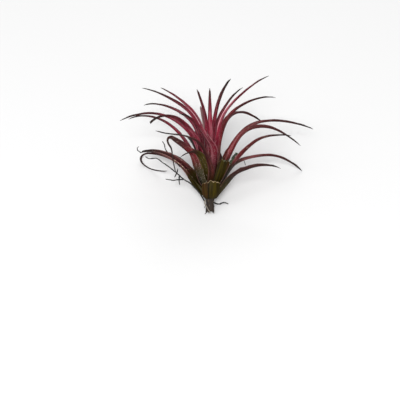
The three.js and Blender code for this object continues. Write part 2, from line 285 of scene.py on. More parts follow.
LEAVES = [
    leaf(
        "leaf_right_1", DROPPED, 0, 350, 44, [42, 36, 59, 73, 92, 110],
        root=338, blade=4.1, roll=[0, -15, -20, -15, 0],
        dark=[0.4, 0.5, 0.8, 0.9, 1, 1], silver=[0.3, 0], flecks=[0.2, 0],
    ),
    leaf("leaf_right_2", SHADED, 5, 338, 59, [40, 28, 43, 54, 84, 95], root=343),
    leaf("leaf_right_3", SHADED, 8, 25.5, 67.5, [40, 38, 73, 87, 112, 127]),
    leaf("leaf_right_4", RUSSET, 13, 345, 71, [34, 23, 32, 81, 118, 129], roll=[0, -15, -15, 0]),
    leaf("leaf_right_5", RUSSET, 16, 25, 86, [31, 30, 44, 80, 97, 106]),
    leaf(
        "leaf_right_6", RED, 21, 12, 69, [26, 3, 12, 48, 70, 94],
        material="leaf_russet", roll=[0, -15, -10, 0],
    ),
    leaf(
        "leaf_right_7", DARK, 24, 50, 73, [24, 20, 25, 67, 100, 109],
        material="leaf_russet", dry=[0, 0, 0, 0, 0.2, 0.9],
    ),
    # Its first margin carries a painted highlight where that edge catches the light.
    leaf(
        "leaf_right_8", BRIGHT, 26, 336, 70, [20, 3, 13, 44, 55, 68],
        root=341, blade=4, rims=(1, 0), rim_at=(0.34, 0.44, 0.58, 0.72), roll=[0, 0, 15, 20, 10],
    ),
    leaf("leaf_right_9", RED, 29, 28, 56.5, [18, 3, 3, 28, 40, 56], sheath=3.6, blade=3.4),
    leaf(
        "leaf_left_1", DROPPED, 1, 146, 80.5, LOOPED_LEANS,
        thread=0.62, thread_widths=(2.7, 0.5), rings=190, blade=4.8,
        roll=[0, -45, -45, -20, 0, 0, 0], rims=(0.3, 0.6), rim_at=(0.17, 0.25, 0.4, 0.55),
    ),
    leaf(
        "leaf_left_2", DROPPED, 4, 182, 46, [41, 31, 46, 61, 79, 104],
        root=198, tip=1.7, point=0.8, roll=[0, -40, -45, -30],
        rims=(0.4, 0.6), rim_at=(0.3, 0.45, 0.7, 0.9),
        spots=[(12, 0.8), (17, 0.7), (20, 0.9), (23, 0.8), (25.5, 0.9)],
    ),
    leaf("leaf_left_3", RED, 9, 167, 70, [38, 13, 32, 51, 79, 111]),
    leaf(
        "leaf_left_4", FOLDED, 12, 195, 58, FOLDED_LEANS,
        thread=0.62, thread_widths=(2.3, 0.6), rings=150, taper=3.2,
        roll=[0, 10, 45, 45, 45, 45, 45, 0, 0],
    ),
    leaf("leaf_left_5", RED, 17, 172, 75, [30, 6, 38, 65, 95, 114]),
    leaf("leaf_left_6", RED, 22, 155, 69, [25, 6, 23, 56, 74, 99]),
    leaf("leaf_left_7", RED, 25, 212, 58, [22, 10, 36, 55, 92, 137], blade=3.9, tip=2, point=0.6),
    leaf("leaf_left_8", BRIGHT, 27, 140, 69.5, [20, 11, 23, 47, 59, 65], blade=3.4),
    # Its first margin carries a painted highlight where that edge catches the light.
    leaf(
        "leaf_left_9", RED, 30, 172, 68, [18, 6, 22, 52, 64, 77],
        blade=3.8, rims=(1, 0), rim_at=(0.2, 0.35, 0.5, 0.65), roll=[0, -15, -20, 0],
    ),
    leaf(
        "leaf_front_1", DARK, 15, 207, 55, [24, 38, 29, 70, 87, 73],
        root=276, sheath=3.4, blade=3.2, thread=0.65, roll=[0, 0, 15, 25, 0],
        olive=[0.6, 0.35, 0, 0, 0, 0], dark=[0.6, 0.4, 0.4, 0.8, 1, 1],
        dry=[0, 0, 0, 0.3, 1, 1], silver=[0.3, 0.2, 0], flecks=[0, 0],
    ),
    leaf(
        "leaf_front_2", OLIVE, 20, 200, 29.5, [23, 30, 28, 58, 108, 122],
        root=245, sheath=4, blade=4, thread=0.8, roll=[0, 20, 40, 30, 0],
        olive=[1, 1.1, 1, 0.6, 0, 0], dark=[0.4, 0, 0, 0.5, 1, 1],
    ),
    leaf(
        "leaf_front_3", RED, 23, 216, 47.5, [22, 2, 36, 41, 56, 84],
        root=287, turn=(7, 25), sheath=6.5, fade=(20, 34), packing=1.1,
        olive=[0.7, 0.2, 0, 0, 0, 0], dark=[0.9, 0.6, 0.4, 0.4, 0.6, 1.1],
        silver=[0.5, 1.2, 1.3, 0.8, 0.1, 0],
    ),
    leaf("leaf_back_1", DARK, 3, 98, 44, [45, 36, 41, 52, 62, 74]),
    leaf("leaf_back_2", DARK, 6, 112, 50, [42, 33, 38, 49, 60, 72]),
    leaf("leaf_back_3", RED, 11, 86, 55, [36, 27, 40, 58, 74, 88]),
    leaf("leaf_back_4", RED, 14, 98, 56, [33, 23, 36, 58, 76, 92]),
    leaf("leaf_back_5", RED, 19, 96, 52, [28, 20, 31, 54, 76, 92]),
    leaf("leaf_back_6", RED, 32, 98, 36, [18, 12, 22, 44, 64, 80], blade=2.1),
    leaf(
        "leaf_back_7", BRIGHT, 35, 109, 39, [16, 6, 7, 23, 30, 30],
        sheath=2.6, blade=2.8, tip=1.5, material="leaf_withered", dark=[0.6, 0, 0, 0.2], dry=[0, 0],
    ),
    leaf("leaf_heart_1", RED, 34, 308, 55, [16, -1, 3, 19, 35, 54], root=340, sheath=3, blade=2.9),
    leaf(
        "leaf_heart_2", BRIGHT, 36, 260, 45, [15, 9, 4, 1, 0, 0],
        sheath=3.4, blade=4, tip=0.7, taper=1.1, dark=[0.8, 0.6, 0.3, 0.1, 0.5, 1],
    ),
    leaf(
        "leaf_heart_3", RED, 38, 232, 45, [15, 2, -2, 14, 27, 30],
        sheath=2.8, blade=2.5, dark=[0.5, 0.1, 0, 0.3, 0.7, 0.9], dry=[0, 0, 0, 0, 0.3, 0.7],
    ),
]

# Torn leaves. The list torn says how far the rim stands above or below the sheath's length, across it, and
# rim how pale it is. The list widths is the sheath's width. It starts at height, from_axis out from the axis.
STUMPS = [
    leaf(
        "stump_front", STUMP, 2, 290, 10.6, [80, 48, 18, 6, 0],
        root=290, height=-0.2, from_axis=3.2, widths=[4.6, 6.2, 6.7, 6.9, 6.8],
        stripes=[1.6, 0, -0.1, -0.1, 0.2, 0.3, 0.3, 0.5], blush=[0.1, 0, 0, 0, 0.1, 0.2, 0.2, 0.1],
        torn=[0.2, 1.2, 1.7, 1.1, 0.4, 1.2, 0.7, 0.3, 0.6, 0, -0.6],
    ),
    leaf(
        "stump_left", STUMP, 7, 250, 10.4, [78, 46, 18, 4, 0],
        root=250, height=-0.2, from_axis=3.2, widths=[3.6, 4.6, 4.6, 4.3, 4],
        olive=[0.75, 0.65], stripes=[0.6, 0, 0.2, 0.1, 0.5], blush=[0.2, 0.1, 0.15, 0.1, 0.1],
        torn=[-0.6, 0.3, -0.2, 0.5, 0.2, 0.4], rim=0.6,
    ),
    leaf(
        "leaf_torn", STUMP, 10, 305, 18, [40, 26, 29],
        root=318, widths=[3, 5, 6, 6.2, 5.6], roll=[0, -20, -25], rims=(0, 0.9),
        olive=[1, 1, 0.7], dark=[0.6, 0.2, 0.2],
        stripes=[0.5, 0.3, 0.2, 0.2, 0.4, 0.2, 0], blush=[0.3, 0.1, 0, 0, 0.1, 0.3, 0.45],
        torn=[-1.6, -0.2, 0.8, -0.7, 0.2, -0.5, 0.9, -0.4, -1.2], rim=0.5,
    ),
]

# The roots' middle lines. The first is the root itself, and the others branch off it.
ROOTS = {
    "root_long": [
        [
            (-2.7, 0.6, -2.4),
            (-6, 1.2, 2.8),
            (-10.7, 2, 7.9),
            (-15, 2.6, 10.7),
            (-19, 3, 14.2),
            (-23.4, 3.2, 17.8),
            (-27.1, 3.4, 20.3),
            (-30.6, 3.6, 22.7),
            (-34.8, 4, 22.6),
            (-37.1, 4, 23.8),
        ],
        [(-15, 2.6, 10.7), (-18.4, 2, 10.4), (-21.6, 1.8, 10.2), (-25.5, 1.4, 10.8)],
        [(-17.4, 2.8, 13), (-17.6, 2, 10.4), (-17.4, 1.2, 7.4)],
        [(-19, 3, 14.2), (-20.3, 2.4, 11.8)],
        [(-19, 3, 14.2), (-18.3, 2.4, 17)],
    ],
    "root_upper": [
        [
            (-3.4, 0.9, 3.6),
            (-5.6, 1.2, 6),
            (-8.3, 0.9, 10.6),
            (-10.4, 1, 15),
            (-12.6, 1, 18.9),
            (-17.2, 0.8, 23),
            (-20, 0.6, 23.8),
            (-22.2, 0.4, 25.4),
            (-24.3, 0.4, 26.2),
            (-25.6, 0.6, 28.3),
            (-25.9, 0.8, 30.2),
            (-27.2, 1, 32.4),
        ],
    ],
    "root_dry": [[(-2.6, -2, -1.2), (-3, -2.6, -3), (-1.7, -3.3, -5.4), (0.2, -3.4, -8.6)]],
    "root_short": [[(2.2, 1.6, -2.6), (5, 3.2, -3.4), (8.2, 3.6, -2.6), (10.6, 4.4, -3.4)]],
}


# Small things that hang on a leaf or the stem: where along and across it each starts, the way it takes from
# there in millimetres, and its radius at both ends. On the stem, the second number counts on round it.
CURL = {"on": "leaf_left_2", "material": "root", "slot": "leaf_olive", "radii": (0.34, 0.15)}
FRAY = {
    "on": "leaf_torn",
    "material": "shrivelled",
    "slot": "leaf_olive",
    "radii": (0.36, 0.12),
    "flatness": 0.4,
    "roughness": 0.3,
}
FIBRE = {"material": "root", "slot": "root", "radii": (0.24, 0.16)}
STRAND = {"on": "stem", "material": "stem", "slot": "stem", "radii": (0.34, 0.12), "flatness": 0.5}


def shred(name, style, at, way, **more):
    return {**style, "name": name, "at": at, "way": way, **more}


SHREDS = [
    shred("curled_tip", CURL, (1, 0), [(-1.3, 0, 0.7), (-2.2, 0.1, 1.5), (-2.3, 0.1, 2.8), (-1.5, 0, 3.5)]),
    shred(
        "shrivelled_strip", FRAY, (1, 0.9),
        [(1.1, -0.3, 1.7), (2.2, -0.2, 3.5), (3.6, 0, 5.2), (5, 0.2, 4.2)],
        radii=(0.6, 0.85),
    ),
    shred("frayed_rim_1", FRAY, (1, -0.7), [(0.2, -0.2, 0.7), (0.6, -0.4, 1.1)], radii=(0.3, 0.1)),
    shred("frayed_rim_2", FRAY, (1, -0.2), [(0.5, -0.2, 0.5), (1.2, -0.6, 0.7)], radii=(0.34, 0.1)),
    shred("frayed_rim_3", FRAY, (1, 0.4), [(0.4, -0.4, 0.6), (0.5, -0.9, 1.4)]),
    shred("frayed_rim_4", FRAY, (1, 1), [(0.6, -0.2, 0), (1, -0.3, -0.9)]),
    shred(
        "fibre_right", FIBRE, (0.38, 1),
        [(0.9, -0.2, -1.2), (1.6, -0.3, -2.6), (2.1, -0.3, -4.4)],
        on="leaf_right_3",
    ),
    shred("stub_strand_1", STRAND, (0.02, 5.8), [(-0.4, -0.1, -0.8), (-1.2, -0.1, -1.5)]),
    shred("stub_strand_2", STRAND, (0.02, 6.8), [(-0.1, -0.2, -0.7), (0.2, -0.3, -1.7)]),
    shred("stub_strand_3", STRAND, (0.02, 8.4), [(0.4, -0.1, -0.7), (1.1, 0, -1.2)]),
    shred("stub_strand_4", STRAND, (0.3, 8.8), [(0.5, -0.2, -0.8), (0.9, -0.2, -2)]),
    shred("stub_strand_5", STRAND, (0.25, 5.2), [(-0.6, -0.2, -0.7), (-1.2, -0.3, -1.8)]),
    shred("stub_strand_6", STRAND, (0.04, 1.5), [(0.3, 0.3, -0.5), (0.4, 0.5, -1.1)]),
    shred("fibre_left", FIBRE, (0.3, 1), [(-1.3, -0.5, 1.6), (-2.6, -0.5, 2)], on="leaf_left_1"),
]


# How far apart two pieces with unlike seeds lie in the noises.
SEED_SPREAD = 50.0


# Colours are given as they look on a screen, from 0 to 255.
def colour(red, green, blue):
    linear = [((c / 255 + 0.055) / 1.055) ** 2.4 if c > 10 else c / 255 / 12.92 for c in (red, green, blue)]
    return (*linear, 1)


class Shader:
    """A material whose colour, roughness and relief come from a small tree of nodes."""

    def __init__(self, name):
        self.material = bpy.data.materials.new(name)
        self.material.use_nodes = True
        self.tree = self.material.node_tree
        self.tree.nodes.clear()
        self.surface = self.tree.nodes.new("ShaderNodeBsdfPrincipled")
        output = self.tree.nodes.new("ShaderNodeOutputMaterial")
        self.tree.links.new(self.surface.outputs["BSDF"], output.inputs["Surface"])

    def put(self, socket, value):
        if isinstance(value, bpy.types.NodeSocket):
            self.tree.links.new(value, socket)
        else:
            socket.default_value = value

    def node(self, kind, inputs, **settings):
        made = self.tree.nodes.new(kind)
        for name, value in settings.items():
            setattr(made, name, value)
        for key, value in inputs.items():
            self.put(made.inputs[key], value)
        return made

    def attribute(self, name):
        return self.node("ShaderNodeAttribute", {}, attribute_name=name).outputs["Fac"]

    def math(self, operation, first, second=0.0, clamp=False):
        made = self.node("ShaderNodeMath", {0: first, 1: second}, operation=operation, use_clamp=clamp)
        return made.outputs[0]

    def vector(self, x, y, z):
        return self.node("ShaderNodeCombineXYZ", {0: x, 1: y, 2: z}).outputs[0]

    def stretched(self, vector, x, y, z):
        made = self.node("ShaderNodeVectorMath", {0: vector, 1: (x, y, z)}, operation="MULTIPLY")
        return made.outputs[0]

    def noise(self, vector, detail, roughness=0.55):
        inputs = {"Vector": vector, "Scale": 1.0, "Detail": detail, "Roughness": roughness}
        return self.node("ShaderNodeTexNoise", inputs).outputs["Fac"]

    def cells(self, vector):
        return self.node("ShaderNodeTexVoronoi", {"Vector": vector, "Scale": 1.0}).outputs["Distance"]

    def between(self, value, low, high, start=0.0, end=1.0):
        inputs = {"Value": value, "From Min": low, "From Max": high, "To Min": start, "To Max": end}
        made = self.node("ShaderNodeMapRange", inputs, interpolation_type="SMOOTHSTEP")
        return made.outputs["Result"]

    def mix(self, share, first, second, blend="MIX"):
        made = self.node("ShaderNodeMix", {0: share, 6: first, 7: second}, data_type="RGBA", blend_type=blend)
        return made.outputs[2]

    def bump(self, height, strength, distance):
        inputs = {"Height": height, "Strength": strength, "Distance": distance}
        return self.node("ShaderNodeBump", inputs).outputs["Normal"]

    def finish(self, base, roughness, normal=None, **fixed):
        self.put(self.surface.inputs["Base Color"], base)
        self.put(self.surface.inputs["Roughness"], roughness)
        if normal:
            self.put(self.surface.inputs["Normal"], normal)
        for name, value in fixed.items():
            self.surface.inputs[name.replace("_", " ")].default_value = value
        return self.material


def leaf_material(name, deep, body, streak, margin):
    """A leaf: its own colour with lengthwise streaks, paler margins with a painted highlight on lit edges,
    silvery scales, olive and dry parts, and pale spots with a painted highlight.

    The noises are read in millimetres across and along the leaf, and the seed sets the leaves apart."""
    s = Shader(name)
    across, reach, seed = s.attribute("across"), s.attribute("reach"), s.attribute("seed")
    rim, olive, dark, dry, pale, silver, flecks = (
        s.attribute(key) for key in ("rim", "olive", "dark", "dry", "pale", "silver", "flecks")
    )
    strip = s.vector(across, reach, s.math("MULTIPLY", seed, SEED_SPREAD))

    # Mottling, streaks, fine ridges and blotches, each drawn out along the leaf.
    mottle = s.noise(s.stretched(strip, 0.5, 0.09, 1), detail=4)
    streaks = s.noise(s.stretched(strip, 1.4, 0.06, 1), detail=5)
    ridges = s.noise(s.stretched(strip, 6, 0.1, 1), detail=2)
    patches = s.noise(s.stretched(strip, 0.35, 0.22, 1), detail=5, roughness=0.65)

    # The leaf's own colour, with paler streaks.
    base = s.mix(s.between(mottle, 0.35, 0.65), deep, body)
    vein_share = s.math("ADD", s.math("MULTIPLY", silver, 0.4), 0.25, clamp=True)
    base = s.mix(s.math("MULTIPLY", s.between(streaks, 0.49, 0.6), vein_share), base, streak)

    # Olive towards the root.
    olive_share = s.between(s.math("ADD", olive, s.math("MULTIPLY", patches, 0.5)), 0.45, 1.05)
    green = s.mix(s.between(streaks, 0.35, 0.65), colour(34, 26, 0), colour(62, 52, 3))
    base = s.mix(olive_share, base, green)

    # Darker parts, which are duller too where they aren't olive.
    dark_share = s.math("MULTIPLY", s.math("ADD", s.math("MULTIPLY", patches, 0.5), 0.75), dark, clamp=True)
    base = s.mix(dark_share, base, s.mix(1.0, base, colour(136, 130, 130), blend="MULTIPLY"))
    dark_squared = s.math("MULTIPLY", dark_share, dark_share)
    dulled = s.math("MULTIPLY", dark_squared, s.between(olive_share, 0, 0.8, 0.45, 0))
    base = s.mix(dulled, base, colour(60, 44, 40))

    # Dried tips.
    dry_share = s.between(s.math("ADD", dry, s.math("MULTIPLY", patches, 0.4)), 0.5, 1.05)
    grey = s.mix(s.between(ridges, 0.35, 0.7), colour(24, 18, 17), colour(54, 42, 38))
    base = s.mix(dry_share, base, grey)

    # Pale margins, partly their own colour and partly a painted highlight along a lit edge; pale dry skin,
    # with a painted highlight where its paleness runs above one; and pale flecks.
    base = s.mix(rim, base, margin)
    pale_share = s.between(s.math("ADD", pale, s.math("MULTIPLY", streaks, 0.4)), 0.55, 1.0)
    base = s.mix(pale_share, base, s.mix(ridges, colour(168, 148, 118), colour(112, 92, 66)))
    # Painted highlight: where the paleness runs above one, as in the middle of the pale spots, a near-white
    # glint.
    base = s.mix(s.between(pale, 1.0, 1.3), base, colour(244, 222, 190))
    dashes = s.between(s.noise(s.stretched(strip, 1.5, 0.4, 1), detail=2), 0.62, 0.7)
    base = s.mix(s.math("MULTIPLY", dashes, s.math("MULTIPLY", flecks, 0.6)), base, colour(186, 164, 148))

    # A silvery bloom, and single scales.
    bloom = s.between(s.math("ADD", silver, s.math("MULTIPLY", streaks, 1.6)), 1.9, 3.4, 0.0, 0.8)
    base = s.mix(bloom, base, s.mix(ridges, colour(28, 27, 14), colour(62, 59, 44)))

    scale_cells = s.cells(s.stretched(strip, 2.6, 1.3, 1))
    scales = s.between(scale_cells, 0.36, 0.12)
    scatter = s.between(s.noise(s.stretched(strip, 0.8, 0.3, 1), detail=2), 0.35, 0.65, 0.35, 1.0)
    scale_share = s.math("MULTIPLY", s.math("MULTIPLY", scales, scatter), s.math("MULTIPLY", silver, 0.3))
    base = s.mix(scale_share, base, colour(190, 172, 168))

    # Low relief: ridges, scales, and wrinkles where the leaf has dried.
    relief = s.math("ADD", ridges, s.math("MULTIPLY", scales, 0.35))
    relief = s.math("ADD", relief, s.math("MULTIPLY", s.math("MULTIPLY", patches, dry_share), 1.5))
    return s.finish(
        base,
        s.between(streaks, 0.3, 0.7, 0.5, 0.68),
        s.bump(relief, 0.5, 0.00015),
        Specular_IOR_Level=0.08,
        Subsurface_Weight=0.04,
        Subsurface_Radius=(0.8, 0.25, 0.18),
        Subsurface_Scale=0.0008,
    )


def bark_material(name, deep, body, pale, grain):
    """Dry fibrous matter, for the stem and the roots: lengthwise fibres, pale rubbed threads, dark pits."""
    s = Shader(name)
    across, reach, seed = s.attribute("across"), s.attribute("reach"), s.attribute("seed")
    strip = s.vector(across, reach, s.math("MULTIPLY", seed, SEED_SPREAD))
    fibres = s.noise(s.stretched(strip, grain, 0.25, 1), detail=4)
    patches = s.noise(s.stretched(strip, 0.6, 0.4, 1), detail=5, roughness=0.65)
    base = s.mix(s.between(fibres, 0.35, 0.65), deep, body)
    base = s.mix(s.math("MULTIPLY", s.between(patches, 0.55, 0.75), 0.75), base, pale)
    relief = s.math("ADD", fibres, s.math("MULTIPLY", patches, 0.6))
    return s.finish(
        base,
        s.between(fibres, 0.3, 0.7, 0.6, 0.85),
        s.bump(relief, 0.7, 0.0003),
        Specular_IOR_Level=0.3,
    )


# Each margin colour stands both for a paler margin and for a painted highlight on lit edges.
MATERIALS = {
    "leaf_red": leaf_material(
        "leaf_crimson",
        deep=colour(82, 8, 25),
        body=colour(128, 22, 46),
        streak=colour(178, 104, 116),
        margin=colour(226, 160, 170),
    ),
    "leaf_russet": leaf_material(
        "leaf_russet",
        deep=colour(80, 12, 18),
        body=colour(118, 28, 36),
        streak=colour(158, 94, 96),
        margin=colour(206, 150, 150),
    ),
    "leaf_withered": leaf_material(
        "leaf_withered",
        deep=colour(98, 62, 64),
        body=colour(132, 98, 98),
        streak=colour(160, 130, 126),
        margin=colour(176, 150, 146),
    ),
    "leaf_dark": leaf_material(
        "leaf_maroon",
        deep=colour(48, 6, 9),
        body=colour(82, 17, 20),
        streak=colour(116, 64, 62),
        margin=colour(176, 124, 120),
    ),
    "leaf_olive": leaf_material(
        "leaf_olive_green",
        deep=colour(46, 12, 7),
        body=colour(70, 24, 12),
        streak=colour(90, 58, 30),
        margin=colour(150, 118, 110),
    ),
    "stem": bark_material(
        "dry_stem",
        deep=colour(18, 13, 10),
        body=colour(52, 40, 30),
        pale=colour(112, 98, 78),
        grain=3.0,
    ),
    "root": bark_material(
        "wiry_root",
        deep=colour(22, 22, 22),
        body=colour(50, 50, 48),
        pale=colour(104, 100, 94),
        grain=5.0,
    ),
    "dry_root": bark_material(
        "dry_root",
        deep=colour(96, 88, 78),
        body=colour(150, 142, 130),
        pale=colour(196, 190, 180),
        grain=5.0,
    ),
    "shrivelled": bark_material(
        "shrivelled_leaf",
        deep=colour(22, 30, 18),
        body=colour(54, 66, 42),
        pale=colour(150, 156, 118),
        grain=2.0,
    ),
}


def make_piece(name, points, faces, material, attributes, node=None):
    """A mesh in the frame that rides on the plant, with values at its points for the material to read."""
    data = bpy.data.meshes.new(name)
    data.from_pydata(points.tolist(), [], faces)
    for key, values in attributes.items():
        layer = data.attributes.new(key, "FLOAT", "POINT")
        layer.data.foreach_set("value", np.asarray(values, np.float32).ravel())
    data.materials.append(material)
    data.shade_smooth()
    piece = bpy.data.objects.new(name, data)
    bpy.context.scene.collection.objects.link(piece)
    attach(piece, "root")
    if node:
        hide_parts(node)


def tube_faces(rings, sides, start=0):
    """Faces round a skin of rings, each with the same number of points, and one face over each end."""
    faces = []
    for i in range(rings - 1):
        for j in range(sides):
            a = start + i * sides + j
            b = start + i * sides + (j + 1) % sides
            faces.append((a, b, b + sides, a + sides))
    last = start + (rings - 1) * sides
    faces.append(tuple(start + j for j in reversed(range(sides))))
    faces.append(tuple(last + j for j in range(sides)))
    return faces


def middle_line(shape):
    """The leaf's middle line at short steps: reach, place, lean and heading at each."""
    root = math.radians(shape.get("root", (SPIRAL * shape["rank"]) % 360))
    turn = math.radians((shape["heading"] - math.degrees(root) + 180) % 360 - 180)
    low, high = shape.get("turn", TURN_STRETCH)
    count = int(shape["length"] / FINE_STEP) + 2
    # The line runs on a little, for torn rims that stand above the length.
    reach = np.linspace(0, shape["length"] * LINE_SPARE, count)
    lean = np.radians(spline(shape["lean"], reach / shape["length"]))
    heading = root + turn * smooth(reach, low, high)
    forward = np.stack([np.sin(lean) * np.cos(heading), np.sin(lean) * np.sin(heading), np.cos(lean)], axis=1)
    root_height = shape.get("height", FIRST_LEAF_HEIGHT + LEAF_STEP * shape["rank"])
    root_radius = shape.get("from_axis", stem_radius(root_height) + ROOT_GAP + SHEATH_THICKNESS / 2)
    start = np.array([root_radius * math.cos(root), root_radius * math.sin(root), root_height])
    steps = (forward[1:] + forward[:-1]) / 2 * (reach[1] - reach[0])
    place = np.vstack([start, start + np.cumsum(steps, axis=0)])
    return reach, place, lean, heading


def leaf_width(shape, reach, place):
    """A broad sheath that clasps the stem, then a blade that tapers to its tip."""
    share = reach / shape["length"]
    if "widths" in shape:
        return spline(shape["widths"], share)
    packed = 2 * np.hypot(place[..., 0], place[..., 1]) * shape["packing"]
    blade = shape.get("blade", BLADE_WIDTH)
    thread = shape.get("thread", 1)
    tip = shape.get("tip", TIP_WIDTH)
    if thread < 1:
        tip = mix(*shape["thread_widths"], np.clip((share - thread) / (1 - thread), 0, 1) ** 0.5)
    x = np.clip((share - BLADE_START) / (thread - BLADE_START), 0, 1)
    tapered = tip + (blade - tip) * (1 - x ** shape.get("taper", TAPER_POWER))
    sheath = shape.get("sheath", SHEATH_WIDTH)
    wanted = mix(sheath, tapered, smooth(reach, *shape.get("fade", SHEATH_FADE)))
    return np.minimum(wanted, mix(packed, wanted, smooth(place[..., 2], PACKED_TOP, OPEN_TOP)))


def waves(rng, reach, longest, count=4):
    """A gentle random wave along a leaf, within about -1 and 1."""
    total = 0
    for k in range(1, count + 1):
        total = total + np.sin(2 * math.pi * (reach * k / longest + rng.random())) * rng.uniform(0.4, 1) / k
    return total / 1.6


def leaf_skin(shape):
    """A leaf as a fine skin round its middle line, hollow towards the stem and thin at its margins.

    The rings of points run from root to tip, and the values at the points are for the material."""
    rng = np.random.default_rng(SEED + shape["rank"])
    line_reach, line_place, line_lean, line_heading = middle_line(shape)
    torn = shape.get("torn")
    rings = shape.get("rings", STUMP_RINGS if torn else LEAF_RINGS)

    # Across the leaf, the points run over the outer face, round one margin and back over the inner face.
    face = np.linspace(-1, 1, FACE_POINTS)
    across = np.concatenate([face, [1], face[::-1], [-1]])
    inner = np.concatenate([np.zeros(FACE_POINTS), [0.5], np.ones(FACE_POINTS), [0.5]])
    bulge = np.concatenate([np.zeros(FACE_POINTS), [1], np.zeros(FACE_POINTS), [1]])
    sides = len(across)

    share = np.linspace(0, 1, rings)[:, None] * np.ones(sides)
    reach = share * shape["length"]
    if torn:
        reach = share * (shape["length"] + np.interp((across + 1) / 2, np.linspace(0, 1, len(torn)), torn))
    place = np.stack([np.interp(reach, line_reach, line_place[:, k]) for k in range(3)], axis=-1)
    lean = np.interp(reach, line_reach, line_lean)
    heading = np.interp(reach, line_reach, line_heading)
    along_share = reach / shape["length"]

    width = leaf_width(shape, reach, place)
    fade = shape.get("fade", SHEATH_FADE)
    clasp = 1 - smooth(reach, *fade)
    solid_middle = mix(mix(BLADE_THICKNESS, EDGE_THICKNESS, along_share**2), SHEATH_THICKNESS, clasp)
    clasping = np.abs(np.cos(lean)) / np.maximum(np.hypot(place[..., 0], place[..., 1]), 1)
    channelled = math.sin(CHANNEL_ANGLE) / (width / 2)
    bend = np.minimum(mix(channelled, clasping, clasp), 1 / (solid_middle + CURL_CLEARANCE))
    radius = 1 / bend
    solid_half = np.arcsin(np.minimum(width / 2 / radius, CURL_LIMIT))
    solid_height = np.maximum(solid_middle, radius * (1 - np.cos(solid_half)))

    to_tip = shape["length"] - reach
    fine_tip = 1 - smooth(to_tip, 0, shape["point"]) if not torn else 0
    width = width * (FULLNESS + WIDTH_WAVER * waves(rng, reach, WIDTH_WAVE))
    width = width + END_EXTRA * smooth(along_share, *END_EXTRA_STRETCH)
    width = mix(width, POINT_WIDTH, fine_tip)
    half = np.arcsin(np.minimum(width / 2 / radius, CURL_LIMIT))
    thick = mix(solid_middle * SLIMNESS, POINT_WIDTH, fine_tip)
    margin = np.minimum(mix(MARGIN_THICKNESS, POINT_WIDTH, fine_tip), thick)
    depth_here = margin + (thick - margin) * (1 - across**2) ** CROWNING
    depth = depth_here * inner

    angle = half * across
    r = radius - depth
    sideways = r * np.sin(angle) + bulge * across * margin * MARGIN_BULGE
    inwards = radius - solid_height / 2 - r * np.cos(angle)
    ripple = RIPPLE * waves(rng, reach, RIPPLE_WAVE) * np.abs(across) ** RIPPLE_SHARPNESS
    ripple = ripple * smooth(along_share, *RIPPLE_STRETCH)
    inwards = inwards + ripple * (1 - fine_tip)

    twist = TWIST * waves(rng, reach, TWIST_WAVE, 2) * smooth(reach, *fade)
    twist = twist + np.radians(spline(shape["roll"], along_share))
    sideways, inwards = (
        sideways * np.cos(twist) - inwards * np.sin(twist),
        sideways * np.sin(twist) + inwards * np.cos(twist),
    )
    sx, sy = np.cos(heading), np.sin(heading)
    across_way = np.stack([-sy, sx, np.zeros_like(sx)], axis=-1)
    inward_way = np.stack([-np.cos(lean) * sx, -np.cos(lean) * sy, np.sin(lean)], axis=-1)
    points = place + across_way * sideways[..., None] + inward_way * inwards[..., None]

    across_share = (across + 1) / 2
    # Margin paleness: the leaf's own paler margin, and on some leaves a painted highlight along one lit edge.
    rim = mix(*shape["rims"], across_share) * np.abs(across) ** RIM_SHARPNESS
    values = {
        "across": across * width / 2,
        "reach": reach,
        "rim": rim * bump(along_share, *shape["rim_at"]),
        "seed": np.full_like(reach, rng.random()),
    }
    for key in ("olive", "dark", "dry", "pale", "silver", "flecks"):
        values[key] = np.maximum(spline(shape[key], np.clip(along_share, 0, 1)), 0)
    values["dark"] = values["dark"] + spline(shape["stripes"], across_share)
    values["olive"] = values["olive"] - spline(shape["blush"], across_share)
    if torn:
        values["pale"] = np.maximum(values["pale"], shape.get("rim", 1) * smooth(share, *TORN_RIM))
    # Pale spots. Their paleness above one becomes a painted highlight in the material.
    for spot_reach, spot_across in shape["spots"]:
        away = np.hypot(reach - spot_reach, (across - spot_across) * width / 2)
        spot = SPOT_PALENESS_AND_HIGHLIGHT * (1 - smooth(away, SPOT_INSIDE, SPOT_OUTSIDE))
        values["pale"] = np.maximum(values["pale"], spot)
    return points, values


def leaf_piece(shape):
    """A leaf's piece. Its rings of points are kept for what hangs on it."""
    points, values = leaf_skin(shape)
    make_piece(
        shape["name"] + "_blade",
        placed(points),
        tube_faces(*points.shape[:2]),
        MATERIALS[shape.get("material", shape["slot"])],
        values,
        node=shape["name"],
    )
    return points


